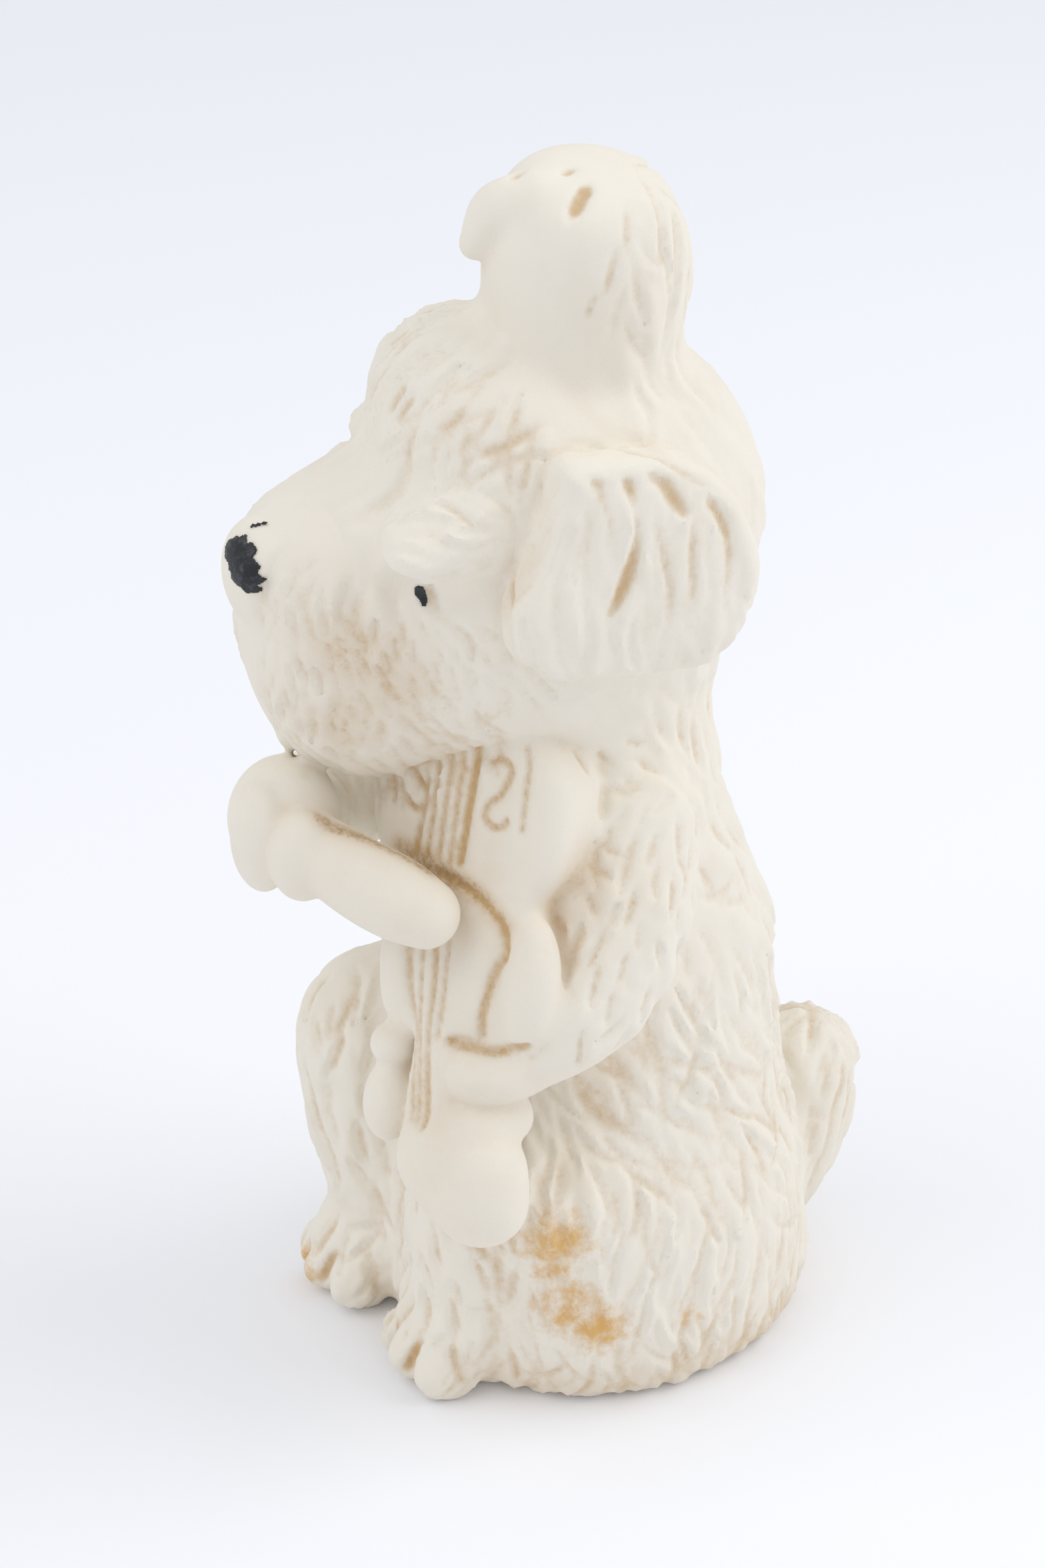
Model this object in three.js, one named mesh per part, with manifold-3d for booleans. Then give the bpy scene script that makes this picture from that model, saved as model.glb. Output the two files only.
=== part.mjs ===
// A seated terrier playing a fiddle: a small ornament in unglazed white bisque ware.
// The torso and the head are hollow slip castings. Limbs, ears, hair, tail and fiddle are
// separate pressings, luted on with slip before the firing. Nose and eyes are beads touched
// in with black enamel. The dog faces -Y, its left side is +X, and it sits on z = 0.
import * as THREE from "three";
import { mergeVertices } from "three/addons/utils/BufferGeometryUtils.js";
import Module from "manifold-3d";

const wasm = await Module();
wasm.setup();

// ---------------------------------------------------------------- driving dimensions, in mm
const WALL = 3.2; // cast wall of the torso and the head
const VENT_RADIUS = 1.75; // kiln vent through the foot
const JOINT = 0.3; // slip line between two luted pieces
const HEAD_AT = [0, 3, 90]; // middle of the skull
const HEAD_LEAN = 12; // degrees that the head leans onto the fiddle
const HEAD_TURN = -6; // degrees that it turns to the dog's right
const FIDDLE_AT = [10, -14.6, 56]; // waist of the fiddle, on its top plate
const FIDDLE_UP = [-0.22, 0.215, 0.95]; // from the scroll to the chin
const FIDDLE_OUT = [0.456, -0.859, 0.233]; // square to its top plate
const FIDDLE_DEPTH = 8.6; // rib height, both plates included
const STRING_RISE = 2.2; // strings above the top plate

// ---------------------------------------------------------------- finishes
const bisque = new THREE.MeshStandardMaterial({ color: 0xeae5da, roughness: 0.85, metalness: 0 });
const enamel = new THREE.MeshStandardMaterial({ color: 0x16171a, roughness: 0.35, metalness: 0 });

// ---------------------------------------------------------------- shapes and solids
const degrees = THREE.MathUtils.degToRad;

function solidOf(geometry) {
  const bare = geometry.index ? geometry.toNonIndexed() : geometry.clone();
  bare.deleteAttribute("normal");
  bare.deleteAttribute("uv");
  const merged = mergeVertices(bare, 1e-4);
  return new wasm.Manifold(
    new wasm.Mesh({
      numProp: 3,
      vertProperties: new Float32Array(merged.attributes.position.array),
      triVerts: new Uint32Array(merged.index.array),
    }),
  );
}

function geometryOf(solid) {
  const mesh = solid.getMesh();
  return new THREE.BufferGeometry()
    .setAttribute("position", new THREE.BufferAttribute(mesh.vertProperties, 3))
    .setIndex(new THREE.BufferAttribute(mesh.triVerts, 1));
}

const fuse = (...solids) => solids.reduce((all, one) => all.add(one));

// A rolled lump: an ellipsoid of three radii, turned by Euler angles in degrees.
function lump(at, radii, grow = 0, turn = [0, 0, 0], around = 18) {
  const ball = new THREE.SphereGeometry(1, around, Math.round(around * 0.6));
  ball.scale(...radii.map((radius) => radius + grow));
  ball.applyMatrix4(new THREE.Matrix4().makeRotationFromEuler(new THREE.Euler(...turn.map(degrees))));
  ball.translate(...at);
  return solidOf(ball);
}

// Values of every column of `rows` at `count` places along a smooth curve through them.
function smoothRows(rows, count) {
  const columns = rows[0].map((_, column) => rows.map((row) => row[column]));
  return Array.from({ length: count + 1 }, (_, i) => {
    const place = (i / count) * (rows.length - 1);
    const left = Math.min(Math.floor(place), rows.length - 2);
    const t = place - left;
    return columns.map((v) => {
      const [a, b, c, d] = [v[Math.max(left - 1, 0)], v[left], v[left + 1], v[Math.min(left + 2, v.length - 1)]];
      const bend = (2 * a - 5 * b + 4 * c - d) * t * t + (3 * b - a - 3 * c + d) * t * t * t;
      return b + 0.5 * ((c - a) * t + bend);
    });
  });
}

// A closed skin over rings of points, with a point at each end.
function skin(rings, first, last) {
  const around = rings[0].length;
  const positions = [...rings.flat(), first, last].flatMap((p) => [p.x, p.y, p.z]);
  const index = [];
  const firstPole = rings.length * around;
  for (let i = 0; i < around; i++) {
    const next = (i + 1) % around;
    for (let ring = 0; ring < rings.length - 1; ring++) {
      const [low, high] = [ring * around, (ring + 1) * around];
      index.push(low + i, low + next, high + next, low + i, high + next, high + i);
    }
    const top = (rings.length - 1) * around;
    index.push(firstPole, next, i, firstPole + 1, top + i, top + next);
  }
  const geometry = new THREE.BufferGeometry();
  geometry.setAttribute("position", new THREE.Float32BufferAttribute(positions, 3));
  geometry.setIndex(index);
  return geometry;
}

// A stack of flat oval sections, for torso, skull and hair. A row is [height, centre x,
// centre y, radius x, radius y]; `squareness` above 2 makes the ovals boxier.
function stack(rows, { grow = 0, steps = 18, around = 28, squareness = 2 } = {}) {
  const power = 2 / squareness;
  const shaped = (value) => Math.sign(value) * Math.abs(value) ** power;
  const sections = smoothRows(rows, steps);
  const rings = sections.map(([z, x, y, rx, ry]) =>
    Array.from({ length: around }, (_, i) => {
      const angle = (i / around) * 2 * Math.PI;
      return new THREE.Vector3(
        x + (rx + grow) * shaped(Math.cos(angle)),
        y + (ry + grow) * shaped(Math.sin(angle)),
        z,
      );
    }),
  );
  const [bottom, top] = [sections[0], sections.at(-1)];
  return solidOf(
    skin(rings, new THREE.Vector3(bottom[1], bottom[2], bottom[0] - grow), new THREE.Vector3(top[1], top[2], top[0] + grow)),
  );
}

// A round-ended roll of clay along a smooth path. A row is [x, y, z, radius].
function roll(rows, grow = 0, around = 12) {
  const sections = smoothRows(rows, (rows.length - 1) * 3);
  const centres = sections.map(([x, y, z]) => new THREE.Vector3(x, y, z));
  const tangents = centres.map((_, i) =>
    centres[Math.min(i + 1, centres.length - 1)].clone().sub(centres[Math.max(i - 1, 0)]).normalize(),
  );
  const side = new THREE.Vector3(1, 0, 0);
  const aim = tangents[Math.floor(tangents.length / 2)];
  if (Math.abs(aim.x) > 0.8) side.set(0, 0, 1);
  const ringAt = (centre, tangent, radius) => {
    const across = side.clone().cross(tangent).normalize();
    const over = tangent.clone().cross(across);
    return Array.from({ length: around }, (_, i) => {
      const angle = (i / around) * 2 * Math.PI;
      return centre
        .clone()
        .addScaledVector(across, radius * Math.cos(angle))
        .addScaledVector(over, radius * Math.sin(angle));
    });
  };
  const capAngles = [65, 40, 15].map(degrees);
  const capRings = (end, direction) =>
    capAngles.map((angle) => {
      const radius = sections.at(end)[3] + grow;
      const centre = centres.at(end).clone().addScaledVector(tangents.at(end), direction * radius * Math.sin(angle));
      return ringAt(centre, tangents.at(end), radius * Math.cos(angle));
    });
  const middle = centres.map((centre, i) => ringAt(centre, tangents[i], sections[i][3] + grow));
  const rings = [...capRings(0, -1), ...middle, ...capRings(-1, 1).reverse()];
  const tip = (end, direction) =>
    centres.at(end).clone().addScaledVector(tangents.at(end), direction * (sections.at(end)[3] + grow));
  return solidOf(skin(rings, tip(0, -1), tip(-1, 1)));
}

// A flat cut-out with rounded edges, its face at z = top. Points are joined by a smooth curve.
function slab(points, top, depth, round, grow = 0, divisions = 44) {
  const curve = new THREE.CatmullRomCurve3(points.map(([x, y]) => new THREE.Vector3(x, y, 0)), true, "centripetal");
  const outline = curve.getPoints(divisions).slice(0, -1);
  const shape = new THREE.Shape(outline.map((p) => new THREE.Vector2(p.x, p.y)));
  const geometry = new THREE.ExtrudeGeometry(shape, {
    depth: depth - 2 * round,
    bevelEnabled: true,
    bevelThickness: round + grow,
    bevelSize: round + grow,
    bevelOffset: -round,
    bevelSegments: 3,
  });
  geometry.translate(0, 0, top - depth + round);
  return solidOf(geometry);
}

// ---------------------------------------------------------------- groups
const dog = new THREE.Group();
const head = new THREE.Group();
head.position.set(...HEAD_AT);
head.rotation.set(0, degrees(HEAD_LEAN), degrees(HEAD_TURN), "ZYX");
const fiddle = new THREE.Group();
const fiddleUp = new THREE.Vector3(...FIDDLE_UP).normalize();
const fiddleOut = new THREE.Vector3(...FIDDLE_OUT);
fiddleOut.addScaledVector(fiddleUp, -fiddleOut.dot(fiddleUp)).normalize();
const fiddleAcross = fiddleUp.clone().cross(fiddleOut);
fiddle.position.set(...FIDDLE_AT);
fiddle.setRotationFromMatrix(new THREE.Matrix4().makeBasis(fiddleAcross, fiddleUp, fiddleOut));
dog.add(head, fiddle);
dog.updateMatrixWorld(true);

// ---------------------------------------------------------------- luting
// Each piece is cut back by JOINT from the pieces it is set against, so that the slip line
// stays open, and any sliver that the cut leaves is thrown away.
const shapes = new Map();

function lute(name, finish, group, shape, against = []) {
  const toGroup = group.matrixWorld.clone().invert();
  let solid = shape(0);
  for (const other of against) {
    const { shape: otherShape, group: otherGroup } = shapes.get(other);
    const move = toGroup.clone().multiply(otherGroup.matrixWorld);
    solid = solid.subtract(otherShape(JOINT).transform(move.toArray()));
  }
  const largest = solid.decompose().reduce((a, b) => (a.volume() > b.volume() ? a : b));
  shapes.set(name, { shape, group });
  const mesh = new THREE.Mesh(geometryOf(largest), finish);
  mesh.name = name;
  group.add(mesh);
}

// ---------------------------------------------------------------- torso
const torsoRows = [
  [0, 0, 6.5, 19.8, 20.4],
  [3, 0, 6.5, 21, 21.6],
  [10, 0, 6.5, 21.2, 21.8],
  [19, 0, 6.5, 20.2, 20.6],
  [28, 0, 6.4, 18.8, 19],
  [37, 0, 6.2, 17.4, 18.2],
  [45, 0, 6, 16.4, 17.8],
  [52, 0, 5.4, 14.8, 16],
  [60, 0, 4.6, 13, 13.9],
  [68, 0, 4, 12.4, 13.2],
  [79, 0, 3.5, 12, 12.6],
];
const torsoShape = (grow) => stack(torsoRows, { grow, steps: 16, around: 32 });

function hollowTorso(grow) {
  if (grow > 0) return torsoShape(grow);
  const inner = torsoRows.map(([z, x, y, rx, ry]) => [z, x, y, rx - WALL, ry - WALL]);
  inner[0][0] = WALL;
  inner.at(-1)[0] = torsoRows.at(-1)[0] + 1;
  const vent = new THREE.CylinderGeometry(VENT_RADIUS, VENT_RADIUS, 4 * WALL, 16);
  vent.rotateX(Math.PI / 2);
  vent.translate(0, torsoRows[0][2], WALL);
  return torsoShape(0).subtract(stack(inner, { steps: 12, around: 20 })).subtract(solidOf(vent));
}

lute("torso", bisque, dog, hollowTorso);

// ---------------------------------------------------------------- head, in its own frame
const muzzleRows = [
  [-30.6, 0, -3, 3.4, 5],
  [-29.4, 0, -5.2, 7, 10.6],
  [-26, 0, -7.6, 9.8, 14.2],
  [-20, 0, -8.6, 11.6, 15.4],
  [-13, 0, -7.5, 13, 14.8],
  [-6, 0, -4, 13, 14.5],
];

// The muzzle's sections stand square to -Y, so the stack is laid forward.
function muzzle(grow) {
  const forward = new THREE.Matrix4().makeBasis(
    new THREE.Vector3(1, 0, 0),
    new THREE.Vector3(0, 0, 1),
    new THREE.Vector3(0, -1, 0),
  );
  const rows = muzzleRows.map(([y, x, z, rx, rz]) => [-y, x, z, rx, rz]).reverse();
  return stack(rows, { grow, steps: 12, around: 24, squareness: 2.3 }).transform(forward.toArray());
}

function headShape(grow) {
  const skull = lump([0, 0, 0.5], [17.2, 17.8, 18], grow, [0, 0, 0], 28);
  const crown = lump([-2, -10, 12], [11, 8, 7], grow);
  const solid = fuse(skull, crown, muzzle(grow));
  if (grow > 0) return solid;
  const cavity = lump([0, 1, 0], [17.2 - WALL, 17.8 - WALL, 18 - WALL], 0, [0, 0, 0], 18);
  return solid.subtract(cavity);
}

lute("head", bisque, head, headShape, ["torso"]);

const topknotShape = (grow) =>
  stack(
    [
      [10, -3, 1, 8.8, 9],
      [16, -3, 1, 8.6, 8.9],
      [21, -3, 0.9, 9.2, 9.3],
      [27, -3, 0.7, 9.3, 9.3],
      [32.2, -3, 0.3, 7.9, 7.8],
      [34.6, -3, 0, 5, 5],
      [35.4, -3, 0, 1.6, 1.6],
    ],
    { grow, steps: 12, around: 20 },
  );
lute("topknot", bisque, head, topknotShape, ["head"]);

const lockShape = (grow) =>
  roll(
    [
      [-3, -4.4, 32.3, 2.6],
      [-4.6, -7.8, 31, 2.4],
      [-5, -9.4, 27.4, 1.6],
    ],
    grow,
  );
lute("topknot_lock", bisque, head, lockShape, ["head", "topknot"]);

const earOutline = [
  [-6.5, 10.5],
  [-9.2, 8.6],
  [-9.6, 2.5],
  [-11.8, -2.5],
  [-10, -7.6],
  [-3, -9.2],
  [4.8, -10],
  [9.8, -8],
  [12, -2.2],
  [10.4, 4],
  [4.5, 9.3],
];
const EAR_FLARE = 16; // degrees that the flap stands off the cheek
const EAR_HEIGHT = { 1: 6.4, "-1": 0 }; // the right ear is pressed on lower

// An ear hangs in its own plane, with its face outward on `side` (1 left, -1 right).
function earShape(side) {
  const across = new THREE.Vector3(0, side, 0);
  const flare = degrees(EAR_FLARE);
  const out = new THREE.Vector3(side * Math.cos(flare), 0, Math.sin(flare));
  const up = out.clone().cross(across);
  const hang = new THREE.Matrix4().makeBasis(across, up, out).setPosition(side * 18, -1.5, EAR_HEIGHT[side]);
  const outline = earOutline.map(([x, y]) => [side * x, y]);
  return (grow) => slab(side > 0 ? outline : outline.reverse(), 2.6, 6.4, 2, grow).transform(hang.toArray());
}
lute("left_ear", bisque, head, earShape(1), ["head"]);
lute("right_ear", bisque, head, earShape(-1), ["head"]);

const browPlaces = { left: [9.5, -15.6, 6.4], right: [-8.5, -13, 5.4] };
for (const [side, name] of [[1, "left"], [-1, "right"]]) {
  const [x, y, z] = browPlaces[name];
  const brow = (grow) => lump([x, y, z], [5, 5, 3.6], grow, [20, side * 15, 0], 16);
  lute(`${name}_brow`, bisque, head, brow, ["head"]);
  const eye = (grow) => lump([x + side * 1.5, y - 2, z - 4.4], [1.6, 1.8, 1.8], grow, [0, 0, 0], 10);
  lute(`${name}_eye`, enamel, head, eye, ["head", `${name}_brow`]);
}
lute("nose", enamel, head, (grow) => lump([0, -30.2, 0.6], [3.4, 2.6, 2.8], grow, [0, 0, 0], 14), ["head"]);

// ---------------------------------------------------------------- tail and hind legs
const tailShape = (grow) =>
  roll(
    [
      [0, 26, 5, 5],
      [0, 29.5, 12, 6.2],
      [0, 31, 20, 6],
    ],
    grow,
  );
lute("tail", bisque, dog, tailShape, ["torso"]);

// The left leg is tucked in under the fiddle, and the right knee is drawn up to carry it.
const legs = {
  left: { side: 1, knee: [8.6, -10, 24], ankle: [6.6, -10.5, 8] },
  right: { side: -1, knee: [-12, -13.4, 31], ankle: [-10.6, -12, 8] },
};
for (const [name, { side, knee, ankle }] of Object.entries(legs)) {
  const leg = (grow) =>
    roll(
      [
        [side * 12.6, 5, 0.75 * knee[2], 7.8],
        [side * 12.4, -5, 0.95 * knee[2], 7.4],
        [...knee, 6.8],
        [(knee[0] + ankle[0]) / 2, (knee[1] + ankle[1]) / 2 - 0.8, (knee[2] + ankle[2]) / 2, 6.2],
        [...ankle, 5],
      ],
      grow,
    );
  lute(`${name}_leg`, bisque, dog, leg, ["torso"]);
  const foot = (grow) => {
    const [x, y] = ankle;
    const instep = lump([x, y - 1.8, 5], [6.2, 6.6, 5], grow);
    const toes = [-1, 0, 1].map((toe) =>
      lump([x + toe * 3.9, y - 5.7 + Math.abs(toe) * 0.9, 3], [2.4, 3.6, 3], grow, [0, 0, 0], 12),
    );
    const paving = new THREE.BoxGeometry(60, 60, 20);
    paving.translate(0, 0, -10);
    return fuse(instep, ...toes).subtract(solidOf(paving));
  };
  lute(`${name}_foot`, bisque, dog, foot, ["torso", `${name}_leg`]);
}

// ---------------------------------------------------------------- fiddle, in its own frame
const fiddleHalf = [
  [0, 20.5],
  [5.4, 19],
  [8.4, 13.5],
  [8.3, 7.5],
  [6.1, 1.2],
  [6.3, -1.4],
  [7.3, -5],
  [6.9, -10.6],
  [3, -12.8],
];
const fiddleOutline = [...fiddleHalf, ...fiddleHalf.slice(1).map(([x, y]) => [-x, y]).reverse()];
const soundboxShape = (grow) => slab([...fiddleOutline].reverse(), 0, FIDDLE_DEPTH, 1.2, grow, 60);
lute("fiddle_body", bisque, fiddle, soundboxShape, ["torso", "head", "left_leg"]);

// Strings and fingerboard are one raised band, narrower towards the scroll.
const fingerboardShape = (grow) => {
  const half = [
    [3.3, 15],
    [3.1, 2],
    [2.6, -12],
    [2.3, -24],
  ];
  const outline = [...half, ...half.map(([x, y]) => [-x, y]).reverse()];
  return slab([...outline].reverse(), STRING_RISE, 2 * STRING_RISE, 0.6, grow, 32);
};
const neckShape = (grow) => fuse(fingerboardShape(grow), roll([[0, -10, -1.8, 2.6], [0, -24, -1.6, 2.6]], grow, 12));
lute("fiddle_neck", bisque, fiddle, neckShape, ["fiddle_body", "head", "torso"]);

const scrollShape = (grow) => lump([2.2, -27, -1], [6.2, 4.8, 5], grow);
lute("fiddle_scroll", bisque, fiddle, scrollShape, ["fiddle_neck", "torso", "left_leg"]);

const bowShape = (grow) =>
  roll(
    [
      [1, -25.2, 62.6, 3],
      [6, -22.2, 60.2, 3.7],
      [10.5, -19.3, 58.2, 3.4],
      [16, -15, 57, 2.2],
    ],
    grow,
  );
lute("bow", bisque, dog, bowShape, ["fiddle_body", "fiddle_neck", "head"]);

// ---------------------------------------------------------------- arms and paws
const leftArmShape = (grow) =>
  roll(
    [
      [12, 0.5, 62, 6.2],
      [16.6, -3, 55, 6.2],
      [18.8, -7, 47.4, 5.2],
      [17, -13.4, 41, 4.2],
    ],
    grow,
  );
lute("left_arm", bisque, dog, leftArmShape, ["torso", "head", "fiddle_body", "fiddle_neck", "left_leg"]);

const rightArmShape = (grow) =>
  roll(
    [
      [-12, 2, 61, 6.5],
      [-17.5, -7, 56, 6],
      [-15, -17, 56, 5],
      [-9, -23, 60, 4.6],
    ],
    grow,
  );
lute("right_arm", bisque, dog, rightArmShape, ["torso", "head", "right_leg"]);

// The left paw closes round the neck: palm behind, two fingers on one side, thumb on the other.
const leftPawShape = (grow) =>
  fuse(
    lump([1, -17.4, -5], [8, 5.4, 3.4], grow),
    roll([[7.6, -16.2, -2.6, 3], [4.6, -16, 1.2, 2.9]], grow, 12),
    roll([[7.6, -21.4, -2.6, 2.6], [4.8, -21.2, 1, 2.4]], grow, 12),
    lump([-5.6, -12.6, -1.4], [2.2, 2, 2.8], grow, [0, 0, 0], 12),
    lump([-5.6, -18.2, -1.6], [2.5, 4.2, 3.2], grow, [0, 0, 0], 12),
  );
lute("left_paw", bisque, fiddle, leftPawShape, [
  "fiddle_body", "fiddle_neck", "fiddle_scroll", "left_arm", "torso", "left_leg",
]);

const rightPawShape = (grow) =>
  fuse(
    lump([-3.2, -25.2, 62.8], [5, 5.4, 6.2], grow),
    lump([-1.2, -28.3, 62.4], [3.2, 3, 5.6], grow, [0, 0, 0], 12),
    lump([2.6, -25.8, 61.8], [3, 3.4, 4.6], grow, [0, 0, 0], 12),
  );
lute("right_paw", bisque, dog, rightPawShape, ["head", "bow", "right_arm", "fiddle_body", "fiddle_neck", "torso"]);

// ---------------------------------------------------------------- the whole ornament
// The origin lies under the middle of the bounding box.
const box = new THREE.Box3().setFromObject(dog, true);
const middle = box.getCenter(new THREE.Vector3());
dog.position.set(-middle.x, -middle.y, 0);

export default dog;
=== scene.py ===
"""A small bisque terrier that plays a fiddle, sculpted as one body of clay and parted into its pieces.

The clay is a grid of signed distances in millimetres. Each section presses its piece into the clay and says
how its hair is combed. The last sections carve the hair, part the clay and finish the pieces.
"""
import math

import bpy
import numpy as np
import openvdb
from mathutils import Euler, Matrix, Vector


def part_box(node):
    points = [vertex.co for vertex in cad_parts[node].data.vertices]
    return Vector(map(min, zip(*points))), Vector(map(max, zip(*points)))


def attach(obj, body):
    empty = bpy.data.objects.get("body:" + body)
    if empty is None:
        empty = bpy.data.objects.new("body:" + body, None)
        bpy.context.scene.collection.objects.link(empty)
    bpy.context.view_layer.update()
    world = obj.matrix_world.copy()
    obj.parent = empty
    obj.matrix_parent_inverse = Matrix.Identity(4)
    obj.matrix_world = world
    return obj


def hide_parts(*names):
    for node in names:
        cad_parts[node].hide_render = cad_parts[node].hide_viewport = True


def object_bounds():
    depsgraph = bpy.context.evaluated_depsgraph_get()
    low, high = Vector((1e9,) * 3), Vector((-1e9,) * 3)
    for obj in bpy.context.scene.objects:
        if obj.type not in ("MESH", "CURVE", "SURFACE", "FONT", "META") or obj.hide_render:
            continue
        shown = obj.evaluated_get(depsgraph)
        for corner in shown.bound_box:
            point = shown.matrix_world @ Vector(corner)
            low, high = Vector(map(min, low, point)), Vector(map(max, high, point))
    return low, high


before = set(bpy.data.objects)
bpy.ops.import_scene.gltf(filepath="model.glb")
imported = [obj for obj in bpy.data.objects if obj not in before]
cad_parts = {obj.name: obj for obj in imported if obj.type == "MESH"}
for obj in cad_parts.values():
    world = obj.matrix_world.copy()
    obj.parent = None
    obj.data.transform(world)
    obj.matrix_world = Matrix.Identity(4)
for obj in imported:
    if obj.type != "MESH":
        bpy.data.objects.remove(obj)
cad_box = [list(corner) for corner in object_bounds()]

# ------------------------------------------------------------------ torso
# The slip-cast body: a pear from the flat seat up to the neck, with a full haunch on each side and a round
# belly. The coat is combed down in short curved tufts that turn towards the back. It is the first clay on the
# bench, so the clay itself and the first tools are made here, in millimetres.
METRE = 1000
CELL = 0.38
REACH = 4.0
seat_low, seat_high = (np.array(corner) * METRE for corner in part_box("torso"))
SEAT_BEHIND_BELLY = 6.5
belly = np.array([*(seat_low + seat_high)[:2] / 2, 0]) - [0, SEAT_BEHIND_BELLY, 0]


def soft_least(a, b, blend):
    """The smaller of two distances, rounded over where they cross."""
    mix = np.clip(0.5 + 0.5 * (b - a) / blend, 0, 1)
    return b + (a - b) * mix - blend * mix * (1 - mix)


class Clay:
    def __init__(self, low, high):
        self.low = np.array(low) - 3
        count = np.ceil((np.array(high) + 3 - self.low) / CELL).astype(int) + 1
        self.field = np.full(count, REACH, np.float32)
        self.owner = np.zeros(count, np.uint8)
        self.grooves = self.field.copy()
        self.tufts = self.field.copy()
        self.pieces = []

    def window(self, low, high):
        first = np.maximum(((np.array(low) - self.low) / CELL).astype(int), 0)
        last = np.minimum(((np.array(high) - self.low) / CELL).astype(int) + 2, self.field.shape)
        cells = tuple(slice(a, b) for a, b in zip(first, last))
        axes = [self.low[k] + CELL * np.arange(first[k], last[k]) for k in range(3)]
        return cells, np.meshgrid(*axes, indexing="ij", sparse=True)

    def distance_to(self, shape):
        corners = np.array([[shape.box[i][0], shape.box[j][1], shape.box[k][2]]
                            for i in (0, 1) for j in (0, 1) for k in (0, 1)])
        placed = corners @ shape.turn.T + shape.at
        cells, (x, y, z) = self.window(placed.min(0) - REACH, placed.max(0) + REACH)
        x, y, z = x - shape.at[0], y - shape.at[1], z - shape.at[2]
        local = [shape.turn[0, k] * x + shape.turn[1, k] * y + shape.turn[2, k] * z for k in range(3)]
        return cells, shape.distance(*local).astype(np.float32)

    def press(self, piece, blend, *shapes):
        """Joins the shapes to the clay in the name of a piece."""
        if piece not in self.pieces:
            self.pieces.append(piece)
        for shape in shapes:
            cells, distance = self.distance_to(shape)
            nearer = distance < self.field[cells]
            self.owner[cells][nearer] = self.pieces.index(piece)
            self.field[cells] = np.minimum(soft_least(self.field[cells], distance, blend), REACH)

    def scoop(self, blend, *shapes):
        """Takes the shapes out of the clay."""
        for shape in shapes:
            cells, distance = self.distance_to(shape)
            self.field[cells] = -soft_least(-self.field[cells], distance, blend)

    def depth(self, points, field=None):
        """The distance at each point, between the eight cells round it."""
        field = self.field if field is None else field
        place = np.clip((points - self.low) / CELL, 0, np.array(field.shape) - 1.001)
        cell = place.astype(int)
        part = place - cell
        total = np.zeros(len(points))
        for i in (0, 1):
            for j in (0, 1):
                for k in (0, 1):
                    share = np.abs(1 - i - part[:, 0]) * np.abs(1 - j - part[:, 1])
                    share = share * np.abs(1 - k - part[:, 2])
                    total += share * field[cell[:, 0] + i, cell[:, 1] + j, cell[:, 2] + k]
        return total

    def outward(self, points, field=None):
        step = 0.6 * max(CELL, 0.5)
        slope = np.stack([self.depth(points + along_axis, field) - self.depth(points - along_axis, field)
                          for along_axis in np.eye(3) * step], 1)
        return slope / np.maximum(np.linalg.norm(slope, axis=1, keepdims=True), 1e-6)

    def settle(self, points, field=None):
        """Moves points onto the surface."""
        for _ in range(4):
            points = points - self.depth(points, field)[:, None] * self.outward(points, field)
        return points


clay = Clay(np.array(cad_box[0]) * METRE, np.array(cad_box[1]) * METRE)


class Shape:
    """A form in its own frame: its box, a function for the distance to it, and where it is placed."""

    def __init__(self, low, high, distance, at=(0, 0, 0), turn=None):
        self.box, self.distance = (np.array(low, float), np.array(high, float)), distance
        self.at, self.turn = belly + at, np.eye(3) if turn is None else turn

    def within(self, at, turn):
        """The same form in a part that is itself turned and placed."""
        self.at, self.turn = belly + at + turn @ (self.at - belly), turn @ self.turn
        return self


def turned(*degrees):
    """A turn about x, then y, then z."""
    return np.array(Euler([math.radians(d) for d in degrees]).to_matrix())


def along(rows, steps=10):
    """Rows of numbers at many places on a smooth curve through a few."""
    rows = np.array(rows, float)
    padded = np.vstack([2 * rows[0] - rows[1], rows, 2 * rows[-1] - rows[-2]])
    made = []
    for i in range(len(rows) - 1):
        a, b, c, d = padded[i:i + 4]
        for t in np.arange(steps) / steps:
            bend = 2 * a - 5 * b + 4 * c - d + t * (3 * b - a - 3 * c + d)
            made.append(b + 0.5 * t * (c - a + t * bend))
    return np.array([*made, rows[-1]])


def lump(at, radii, turn=(0, 0, 0)):
    """A pellet of clay: an ellipsoid."""
    a, b, c = radii

    def distance(x, y, z):
        size = np.sqrt((x / a) ** 2 + (y / b) ** 2 + (z / c) ** 2)
        steep = np.sqrt((x / a ** 2) ** 2 + (y / b ** 2) ** 2 + (z / c ** 2) ** 2)
        return size * (size - 1) / np.maximum(steep, 1e-3)

    return Shape([-a, -b, -c], radii, distance, at, turned(*turn))


def stack(rows, power=2.0, edge=1.5, turn=None):
    """A turned form of flat oval sections. A row is [height, centre x, centre y, radius x, radius y]."""
    rows = along(rows, 12)
    heights = rows[:, 0]
    slope = np.gradient((rows[:, 3] + rows[:, 4]) / 2, heights)

    def distance(x, y, z):
        cx, cy, rx, ry, lean = (np.interp(z, heights, column) for column in (*rows[:, 1:].T, slope))
        u, v = np.abs(x - cx) / rx, np.abs(y - cy) / ry
        size = np.maximum((u ** power + v ** power) ** (1 / power), 1e-3)
        steep = np.hypot((u / size) ** (power - 1) / rx, (v / size) ** (power - 1) / ry)
        side = (size - 1) / np.maximum(steep, 1e-3) / np.sqrt(1 + lean ** 2)
        ends = np.maximum(heights[0] - z, z - heights[-1])
        return -soft_least(-side, -ends, edge)

    reach = np.abs(rows[:, 1:3]) + rows[:, 3:5]
    low, high = [*-reach.max(0), heights[0]], [*reach.max(0), heights[-1]]
    return Shape(low, high, distance, (0, 0, 0), turn)


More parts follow.
